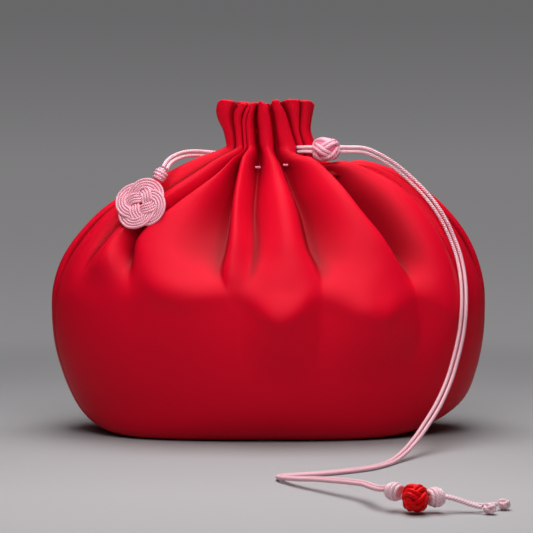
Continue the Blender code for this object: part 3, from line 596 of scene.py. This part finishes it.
def satin_material():
    """Red satin: a soft sheen over a fine weave, with shade painted darker between the folds."""
    material, tree, shader = new_material("red_satin_cloth", SATIN_SURFACE)
    depth = add_node(tree, "Attribute", attribute_name=SHADE_RELIEF)
    place = add_node(tree, "TexCoord")
    weave = add_node(tree, "TexNoise", WEAVE)
    twill = add_node(tree, "TexWave", TWILL, bands_direction="DIAGONAL")
    threads = add_node(tree, "Math", operation="ADD")
    bump = add_node(tree, "Bump", WEAVE_BUMP)
    link_all(tree, (
        (colour_ramp(tree, depth.outputs["Fac"], SATIN_RED_AND_PAINTED_SHADE), shader.inputs["Base Color"]),
        (place.outputs["Object"], weave.inputs["Vector"]),
        (place.outputs["Object"], twill.inputs["Vector"]),
        (weave.outputs["Fac"], threads.inputs[0]),
        (twill.outputs["Fac"], threads.inputs[1]),
        (threads.outputs["Value"], bump.inputs["Height"]),
        (bump.outputs["Normal"], shader.inputs["Normal"]),
    ))
    return material


def cord_material(name, colours):
    """Glossy cord: its own colour on its strands and shade painted darker in the grooves between them.
    """
    colour, groove_shade = colours
    material, tree, shader = new_material(name, CORD_SURFACE)
    shader.inputs["Specular Tint"].default_value = (*colour, 1)
    height = add_node(tree, "Attribute", attribute_name=SHADE_RELIEF)
    stops = tuple(zip(STRAND_STOPS, (groove_shade, colour)))
    tree.links.new(colour_ramp(tree, height.outputs["Fac"], stops), shader.inputs["Base Color"])
    return material


def mesh_object(name, points, faces, material):
    """A smooth mesh object in the scene."""
    mesh = bpy.data.meshes.new(name)
    mesh.from_pydata([tuple(point) for point in points], [], faces)
    mesh.update()
    mesh.shade_smooth()
    mesh.materials.append(material)
    made = bpy.data.objects.new(name, mesh)
    bpy.context.collection.objects.link(made)
    return made


def mesh_piece(name, points, faces, material, relief):
    """A piece of the part, with its points' relief kept for the material's colours and painted shade."""
    piece = mesh_object(name, points, faces, material)
    layer = piece.data.attributes.new(SHADE_RELIEF, "FLOAT", "POINT")
    layer.data.foreach_set("value", np.asarray(relief, dtype=np.float32))
    return piece


def grid_faces(rings, columns, joined=False):
    """Faces between rings of equal size; joined closes the last ring to the first."""
    faces = []
    last = rings if joined else rings - 1
    for ring in range(last):
        above = (ring + 1) % rings
        for column in range(columns):
            beside = (column + 1) % columns
            faces.append((ring * columns + column, ring * columns + beside,
                          above * columns + beside, above * columns + column))
    return faces


def close_ends(faces, centres, columns, last_ring):
    """Closes a body of rings with a fan of faces at each end, round two points that come last."""
    for column in range(columns):
        beside = (column + 1) % columns
        faces.append((centres, beside, column))
        faces.append((centres + 1, last_ring + column, last_ring + beside))


def make_pouch(material):
    """The pouch's cloth: base, body, neck, ruffle and the funnel inside the ruffle."""
    outside = np.linspace(0, RIM_STATION, RIM_STATION * RINGS_PER_STATION + 1)
    inside = np.linspace(RIM_STATION, RIM_STATION - FUNNEL_STATIONS, FUNNEL_RINGS)
    rings = [pouch_ring(station) for station in outside]
    for turn in HEM_TURNS:
        hem, depth = pouch_ring(RIM_STATION, wall=RUFFLE_WALL / 2 * (1 - math.cos(math.radians(turn))))
        hem[:, 2] += RUFFLE_WALL / 2 * math.sin(math.radians(turn))
        rings.append((hem, depth))
    rings += [pouch_ring(station, fold_share=FUNNEL_FOLD_SHARE, wall=RUFFLE_WALL)
              for station in inside[1:]]
    floor_height = SHOULDER_HEIGHT + NECK_FLOOR_RISE
    painted_shade = [depth for _, depth in rings]
    rings = [places for places, _ in rings]
    closing = rings[-1].copy()
    closing[:, :2] *= FUNNEL_FLOOR_REACH
    closing[:, 2] = floor_height + FUNNEL_FLOOR_RISE * (rings[-1][:, 2].min() - floor_height)
    rings.append(closing)
    painted_shade.append(painted_shade[-1])
    columns = len(rings[0])
    points = list(np.concatenate(rings))
    # Painted shade as a share of its darkest: none at the base's middle, darkest on the floor inside the
    # neck
    painted_shade = list(np.concatenate(painted_shade) / SHADED_DEPTH) + [0.0, 1.0]
    faces = grid_faces(len(rings), columns)
    close_ends(faces, len(points), columns, (len(rings) - 1) * columns)
    points += [(0.0, 0.0, 0.0), (0.0, 0.0, floor_height)]
    piece = mesh_piece("pouch_cloth", points, faces, material, painted_shade)
    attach(piece, "pouch")
    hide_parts("pouch_body")


def unit(vector):
    """The vector's direction."""
    vector = np.asarray(vector, dtype=float)
    return vector / np.linalg.norm(vector)


def along_line(points, step, closed=False):
    """Evenly spaced points on a line of points, and the line's length."""
    if closed:
        points = np.vstack([points, points[:1]])
    lengths = np.linalg.norm(np.diff(points, axis=0), axis=1)
    reach = np.concatenate([[0], np.cumsum(lengths)])
    count = max(4, int(round(reach[-1] / step)))
    wanted = np.linspace(0, reach[-1], count + 1)
    if closed:
        wanted = wanted[:-1]
    spaced = np.stack([np.interp(wanted, reach, points[:, axis]) for axis in range(3)], axis=1)
    return spaced, reach[-1]


def smooth_route(route):
    """Many points on the smooth curve through a route."""
    return smooth_curve(route, np.linspace(0, len(route) - 1, CURVE_STEPS * (len(route) - 1) + 1))


def headings(points, closed=False):
    """Which way a line goes at each of its points."""
    if closed:
        return np.roll(points, -1, axis=0) - np.roll(points, 1, axis=0)
    return np.gradient(points, axis=0)


def sideways(points, facing, closed=False):
    """Unit directions across a line, square to what it faces."""
    across = np.cross(headings(points, closed), facing)
    return across / np.linalg.norm(across, axis=1, keepdims=True)


def pair_strand(route, side):
    """One strand of a pair: the route moved sideways, in line with what the pair lies on."""
    points = smooth_route(route)
    low = np.clip((LAID_HEIGHT - points[:, 2]) / LAID_HEIGHT, 0, 1)[:, None]
    facing = np.array([0, -1, 0]) * (1 - low) + np.array([0, 0, 1]) * low
    return points + sideways(points, facing) * side * (CORD_DIAMETER + STRAND_GAP) / 2


def steady_frames(points, closed=False):
    """Sideways directions along a line that turn no more than the line does."""
    ahead = headings(points, closed)
    ahead /= np.linalg.norm(ahead, axis=1, keepdims=True)
    first = np.cross(ahead[0], NO_HEADING)
    side = first / np.linalg.norm(first)
    sides = []
    for direction in ahead:
        side = side - direction * np.dot(side, direction)
        side = side / np.linalg.norm(side)
        sides.append(side)
    sides = np.array(sides)
    if closed:
        end = sides[-1] - ahead[0] * np.dot(sides[-1], ahead[0])
        end /= np.linalg.norm(end)
        slip = math.atan2(np.dot(np.cross(sides[0], end), ahead[0]), np.dot(sides[0], end))
        turns = -slip * np.arange(len(points)) / len(points)
        others = np.cross(ahead, sides)
        sides = sides * np.cos(turns)[:, None] + others * np.sin(turns)[:, None]
    return ahead, sides, np.cross(ahead, sides)


def twisted_tube(points, diameter, closed=False, sides=TUBE_SIDES, twist_length=TWIST_LENGTH,
                 ply_depth=PLY_DEPTH):
    """Points, faces and heights of a twisted cord that follows a line."""
    line, length = along_line(points, TUBE_STEP, closed)
    ahead, across, upward = steady_frames(line, closed)
    turns = max(1, round(length / twist_length)) if closed else length / twist_length
    travel = np.arange(len(line)) / (len(line) if closed else len(line) - 1)
    angle = np.arange(sides) * 2 * math.pi / sides
    phase = CORD_PLIES * angle[None, :] + 2 * math.pi * turns * travel[:, None] * CORD_PLIES
    height = np.abs(np.cos(phase / 2))
    reach = diameter / 2 * (1 - ply_depth * (1 - height))
    ring = (np.cos(angle)[None, :, None] * across[:, None, :]
            + np.sin(angle)[None, :, None] * upward[:, None, :])
    tube_points = line[:, None, :] + ring * reach[:, :, None]
    faces = grid_faces(len(line), sides, joined=closed)
    tube_points = list(tube_points.reshape(-1, 3))
    heights = list(height.reshape(-1))
    if not closed:
        close_ends(faces, len(tube_points), sides, (len(line) - 1) * sides)
        tube_points += [line[0], line[-1]]
        heights += [0.5, 0.5]
    return tube_points, faces, heights


def join_meshes(parts):
    """One list of points, faces and heights out of several."""
    points = []
    faces = []
    heights = []
    for part_points, part_faces, part_heights in parts:
        start = len(points)
        points += list(part_points)
        heights += list(part_heights)
        faces += [tuple(start + corner for corner in face) for face in part_faces]
    return points, faces, heights


def place_by(centre, axis, up=(0, 0, 1)):
    """A function that moves points made along X to their place, X along the axis and Z near up."""
    x = Vector(unit(axis))
    y = Vector(up).cross(x).normalized()
    z = x.cross(y)
    turn = np.array([x, y, z])
    return lambda points: np.asarray(points) @ turn + np.asarray(centre)


def round_x(x, reach, turn):
    """Points round the X axis."""
    return np.stack([x, reach * np.cos(turn), reach * np.sin(turn)], axis=1)


def turks_head(bights, half_length, radius, end_share, weave, strands, strand_diameter, spacing, place):
    """A ball woven round the X axis from one closed line, its strands laid side by side."""
    swing = math.acos(end_share)
    t = np.linspace(0, 2 * math.pi, KNOT_STEPS, endpoint=False)
    tilt = swing * np.cos(bights * t)
    reach = radius * np.cos(tilt) + weave * np.sin(2 * bights * t)
    turn = KNOT_LEADS * t
    x = half_length * np.sin(tilt) / math.sin(swing)
    line = round_x(x, reach, turn)
    across = sideways(line, round_x(SIDE_SLOPE * x * radius / half_length, reach, turn), closed=True)
    parts = []
    for number in range(strands):
        offset = (number - (strands - 1) / 2) * spacing
        parts.append(twisted_tube(place(line + across * offset), strand_diameter, closed=True,
                                  sides=KNOT_SIDES, ply_depth=KNOT_PLY_DEPTH))
    return parts


def woven_pair(bights, length, radius, strand, place):
    """A round knot woven from two strands that run together."""
    return turks_head(bights, half_length=length / 2 - strand / 2, radius=radius - strand,
                      end_share=PAIR_END_SHARE, weave=PAIR_WEAVE, strands=2, strand_diameter=strand,
                      spacing=PAIR_SPACING, place=place)


def round_core(half_length, radius, place, rows=10, columns=16):
    """A plain rounded body that fills the inside of a knot."""
    points = []
    for row in range(1, rows):
        swing = math.pi * row / rows
        for column in range(columns):
            turn = 2 * math.pi * column / columns
            points.append((-half_length * math.cos(swing), radius * math.sin(swing) * math.cos(turn),
                           radius * math.sin(swing) * math.sin(turn)))
    faces = grid_faces(rows - 1, columns)
    close_ends(faces, len(points), columns, (rows - 2) * columns)
    points += [(-half_length, 0, 0), (half_length, 0, 0)]
    # Its relief of 0 paints it with the cord's groove shade
    return list(place(points)), faces, [0.0] * len(points)


def bored_core(half_length, bore, radius, place, rows=12, columns=24):
    """A plain rounded body with a hole along it, which fills the inside of a sliding knot."""
    points = []
    for row in range(rows):
        swing = 2 * math.pi * row / rows
        reach = (radius + bore) / 2 - (radius - bore) / 2 * math.cos(swing)
        for column in range(columns):
            turn = 2 * math.pi * column / columns
            points.append((-half_length * math.sin(swing), reach * math.cos(turn),
                           reach * math.sin(turn)))
    faces = grid_faces(rows, columns, joined=True)
    # Its relief of 0 paints it with the cord's groove shade
    return list(place(points)), faces, [0.0] * len(points)


def wound_knot(length, radius, strand, winding, core, place):
    """A knot of cord wound round itself, its turns leaning over, with its core."""
    turns, lean = winding
    t = np.linspace(0, 1, int(WOUND_STEPS * turns))
    swing = (t * 2 - 1) * WOUND_SWING
    reach = (radius - strand / 2) * np.cos(swing * WOUND_ROUNDNESS)
    turn = 2 * math.pi * turns * t
    x = (length - strand) / 2 * np.sin(swing) / math.sin(WOUND_SWING) + lean * reach * np.cos(turn)
    line = place(round_x(x, reach, turn))
    return [twisted_tube(line, strand, sides=KNOT_SIDES, ply_depth=KNOT_PLY_DEPTH),
            round_core(length * core[0], radius * core[1], place)]


def knot_piece(name, parts, material, body, nodes):
    """A knot made of its strands and its core, which replaces its plain solid."""
    points, faces, heights = join_meshes(parts)
    piece = mesh_piece(name, points, faces, material, heights)
    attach(piece, body)
    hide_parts(*nodes)
    return piece


def cord_piece(name, points, material, node):
    """One strand of cord, which replaces its plain tube."""
    tube = twisted_tube(points, CORD_DIAMETER)
    piece = mesh_piece(name, tube[0], tube[1], material, tube[2])
    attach(piece, "pouch")
    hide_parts(node)
    return piece


def make_slider(material):
    """The button knot that slides on both strands of the right drawstring."""
    place = place_by(SLIDER_CENTRE, (1, 0, 0))
    parts = woven_pair(SLIDER_BIGHTS, SLIDER_LENGTH, SLIDER_RADIUS, SLIDER_STRAND, place)
    parts.append(bored_core(SLIDER_LENGTH * SLIDER_CORE[0], SLIDER_BORE, SLIDER_RADIUS * SLIDER_CORE[1],
                            place))
    return knot_piece("slider_knot_weave", parts, material, "slider", ["slider_knot"])


def make_end_knots(pink, red):
    """The knots at the end of the right drawstring: wound, woven red and wound."""
    place = place_by(UPPER_KNOT_CENTRE, unit(np.subtract(BEAD_CENTRE, UPPER_KNOT_CENTRE)))
    parts = wound_knot(UPPER_KNOT_LENGTH, UPPER_KNOT_RADIUS, UPPER_KNOT_STRAND, UPPER_KNOT_WINDING,
                       END_KNOT_CORE, place)
    upper = knot_piece("end_knot_upper_weave", parts, pink, "pouch", ["end_knot_upper"])
    place = place_by(BEAD_CENTRE, BEAD_AXIS)
    parts = woven_pair(BEAD_BIGHTS, BEAD_LENGTH, BEAD_RADIUS, BEAD_STRAND, place)
    parts.append(round_core(BEAD_LENGTH * BEAD_CORE[0], BEAD_RADIUS * BEAD_CORE[1], place))
    bead = knot_piece("red_bead_weave", parts, red, "pouch", ["red_bead_knot"])
    spacing = (BEAD_LENGTH + LOWER_KNOT_LENGTH) / 2 + TOUCH_GAP
    place = place_by(np.add(BEAD_CENTRE, unit(BEAD_AXIS) * spacing), BEAD_AXIS)
    parts = wound_knot(LOWER_KNOT_LENGTH, LOWER_KNOT_RADIUS, LOWER_KNOT_STRAND, LOWER_KNOT_WINDING,
                       END_KNOT_CORE, place)
    lower = knot_piece("end_knot_lower_weave", parts, pink, "pouch", ["end_knot_lower"])
    return upper, bead, lower


def make_ball(name, route, centre, material):
    """The small knot at the tip of a tail, in line with the tail's end."""
    place = place_by(centre, np.subtract(centre, route[-1]))
    parts = turks_head(BALL_BIGHTS, half_length=BALL_RADIUS - BALL_INSETS[0],
                       radius=BALL_RADIUS - BALL_INSETS[1], end_share=BALL_END_SHARE,
                       weave=BALL_WEAVE, strands=1, strand_diameter=BALL_STRAND, spacing=0, place=place)
    parts.append(round_core(BALL_RADIUS * BALL_CORE, BALL_RADIUS * BALL_CORE, place))
    knot_piece("ball_knot_%s_weave" % name, parts, material, "pouch", ["ball_knot_" + name])


def make_charm(material):
    """The flat mat, woven from strands that lie side by side on one closed line."""
    t = np.linspace(0, 2 * math.pi, CHARM_STEPS, endpoint=False)
    half_band = CHARM_STRANDS / 2 * CHARM_STRAND
    reach = CHARM_RADIUS - half_band - CHARM_SWING + CHARM_SWING * np.cos(CHARM_BIGHTS * t)
    turn = CHARM_LEADS * t
    line = round_x(CHARM_WEAVE * np.sin(2 * CHARM_BIGHTS * t), reach, turn)
    across = sideways(round_x(np.zeros_like(t), reach, turn), (1.0, 0.0, 0.0), closed=True)
    place = place_by(CHARM_CENTRE, CHARM_NORMAL, up=CHARM_UP)
    parts = []
    for number in range(CHARM_STRANDS):
        offset = (number - (CHARM_STRANDS - 1) / 2) * CHARM_STRAND
        parts.append(twisted_tube(place(line + across * offset), CHARM_STRAND, closed=True,
                                  twist_length=CHARM_TWIST_LENGTH))
    return knot_piece("charm_weave", parts, material, "pouch", ["charm_mat"])


def make_wrap_knot(material):
    """The wound knot that the mat hangs from."""
    reach = CHARM_RADIUS + TOUCH_GAP + WRAP_KNOT_LENGTH / 2
    place = place_by(np.add(CHARM_CENTRE, unit(CHARM_UP) * reach), CHARM_UP)
    parts = wound_knot(WRAP_KNOT_LENGTH, WRAP_KNOT_RADIUS, WRAP_KNOT_STRAND, WRAP_KNOT_WINDING,
                       WRAP_KNOT_CORE, place)
    return knot_piece("wrap_knot_weave", parts, material, "pouch", ["wrap_knot"])


def make_drawstrings(pink, knot_pink, pale, red):
    """All cords, with the knots that sit on them."""
    tails = (("front", FRONT_TAIL_ROUTE, FRONT_BALL_CENTRE), ("back", BACK_TAIL_ROUTE, BACK_BALL_CENTRE))
    upper, bead, lower = make_end_knots(pale, red)
    for name, route, centre in tails:
        make_ball(name, route, centre, pale)
    slider = make_slider(knot_pink)
    for name, side in (("upper", -1), ("lower", 1)):
        points = pair_strand(RIGHT_TUCK + RIGHT_ROUTE, side)
        piece = cord_piece("right_strand_" + name, points, pink, "right_cord_" + name)
    for name, route, _ in tails:
        cord_piece("tail_strand_" + name, smooth_route(route), pale, "tail_cord_" + name)
    charm = make_charm(knot_pink)
    wrap = make_wrap_knot(knot_pink)
    for name, side in (("upper", -1), ("lower", 1)):
        points = pair_strand(LEFT_ROUTE, side)
        piece = cord_piece("left_strand_" + name, points, pink, "left_cord_" + name)


def finish_nodes(material):
    """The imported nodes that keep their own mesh."""
    for side in ("left", "right"):
        node = bpy.data.objects["pleat_cord_" + side]
        node.data.materials.clear()
        node.data.materials.append(material)


def make_stage():
    """A pale round floor that sweeps up into a grey backdrop on all sides."""
    profile = [(radius, 0.0) for radius in (*STAGE_RINGS, STAGE_RADIUS - STAGE_SWEEP)]
    for turn in np.linspace(SWEEP_START, math.pi / 2, SWEEP_RINGS):
        profile.append((STAGE_RADIUS - STAGE_SWEEP * (1 - math.sin(turn)),
                        STAGE_SWEEP * (1 - math.cos(turn))))
    profile.append((STAGE_RADIUS, STAGE_HEIGHT))
    points = []
    for radius, height in profile:
        for column in range(STAGE_COLUMNS):
            turn = 2 * math.pi * column / STAGE_COLUMNS
            points.append((radius * math.cos(turn), radius * math.sin(turn), height))
    faces = [face[::-1] for face in grid_faces(len(profile), STAGE_COLUMNS)]
    faces.append(tuple(range(STAGE_COLUMNS)))
    floor = mesh_object("stage", points, faces, stage_material())


def falloff_ramp(tree, source, reach, levels):
    """Greys painted as a fall-off of light, by a value in metres, between the ends of its reach."""
    start, end = reach
    share = add_node(tree, "MapRange", {"From Min": start, "From Max": end})
    tree.links.new(source, share.inputs["Value"])
    stops = [((place - start) / (end - start), (level, level * STAGE_TINT, level))
             for place, level in levels]
    return colour_ramp(tree, share.outputs["Result"], stops)


def stage_material():
    """Pale floor near the pouch; further off a backdrop that shows its grey to the camera alone; both
    greys paint a fall-off of light.
    """
    material, tree, shader = new_material("stage_grey", STAGE_SURFACE)
    place = add_node(tree, "TexCoord")
    split = add_node(tree, "SeparateXYZ")
    flat = add_node(tree, "CombineXYZ")
    away = add_node(tree, "VectorMath", operation="LENGTH")
    climb = add_node(tree, "Math", operation="ADD")
    glow = add_node(tree, "Emission")
    far = add_node(tree, "MapRange", {"From Min": FLOOR_FADE[0], "From Max": FLOOR_FADE[1]},
                   interpolation_type="SMOOTHSTEP")
    seen = add_node(tree, "LightPath")
    share = add_node(tree, "Math", operation="MULTIPLY")
    mix = add_node(tree, "MixShader")
    floor = falloff_ramp(tree, split.outputs["Y"], FLOOR_REACH, FLOOR_FALLOFF_GREYS)
    backdrop = falloff_ramp(tree, climb.outputs["Value"], BACKDROP_REACH, BACKDROP_FALLOFF_GREYS)
    link_all(tree, (
        (place.outputs["Object"], split.inputs["Vector"]),
        (split.outputs["X"], flat.inputs["X"]),
        (split.outputs["Y"], flat.inputs["Y"]),
        (flat.outputs["Vector"], away.inputs[0]),
        (away.outputs["Value"], climb.inputs[0]),
        (split.outputs["Z"], climb.inputs[1]),
        (floor, shader.inputs["Base Color"]),
        (backdrop, glow.inputs["Color"]),
        (away.outputs["Value"], far.inputs["Value"]),
        (far.outputs["Result"], share.inputs[0]),
        (seen.outputs["Is Camera Ray"], share.inputs[1]),
        (share.outputs["Value"], mix.inputs["Fac"]),
        (shader.outputs["BSDF"], mix.inputs[1]),
        (glow.outputs["Emission"], mix.inputs[2]),
        (mix.outputs["Shader"], tree.nodes["Material Output"].inputs["Surface"]),
    ))
    return material


def area_light(name, place, aim, size, power, spread):
    """A rectangular light, turned to what it is aimed at."""
    data = bpy.data.lights.new(name, "AREA")
    data.shape = "RECTANGLE"
    data.size, data.size_y = size
    data.energy = power
    data.spread = math.radians(spread)
    light = bpy.data.objects.new(name, data)
    light.location = place
    direction = Vector(aim) - Vector(place)
    light.rotation_euler = direction.to_track_quat("-Z", "Y").to_euler()
    bpy.context.collection.objects.link(light)


def light_scene():
    """A dim even world and the lights."""
    world = bpy.data.worlds.new("studio")
    world.use_nodes = True
    back = world.node_tree.nodes["Background"]
    set_inputs(back, {"Color": (1, 1, 1, 1), "Strength": WORLD_STRENGTH})
    bpy.context.scene.world = world
    for light in LIGHTS:
        area_light(*light)


def place_camera():
    """The camera that the photograph was taken with."""
    data = bpy.data.cameras.new("camera")
    data.sensor_fit = "HORIZONTAL"
    data.sensor_width = SENSOR_WIDTH
    data.lens = CAMERA_LENS
    data.clip_start = CLIP_START
    camera = bpy.data.objects.new("camera", data)
    camera.location = CAMERA_PLACE
    camera.rotation_euler = (math.radians(90 - CAMERA_PITCH), 0, 0)
    bpy.context.collection.objects.link(camera)
    bpy.context.scene.camera = camera


def main():
    """Builds the whole scene."""
    place_camera()
    satin = satin_material()
    pink = cord_material("pink_cord_twist", PINK_CORD)
    knot_pink = cord_material("pink_knot_twist", PINK_KNOTS)
    pale = cord_material("pale_knot_twist", PALE_KNOTS)
    red = cord_material("red_cord_twist", RED_KNOT)
    make_drawstrings(pink, knot_pink, pale, red)
    finish_nodes(pink)
    make_pouch(satin)
    make_stage()
    light_scene()
    bpy.context.scene.view_settings.view_transform = "Standard"


main()
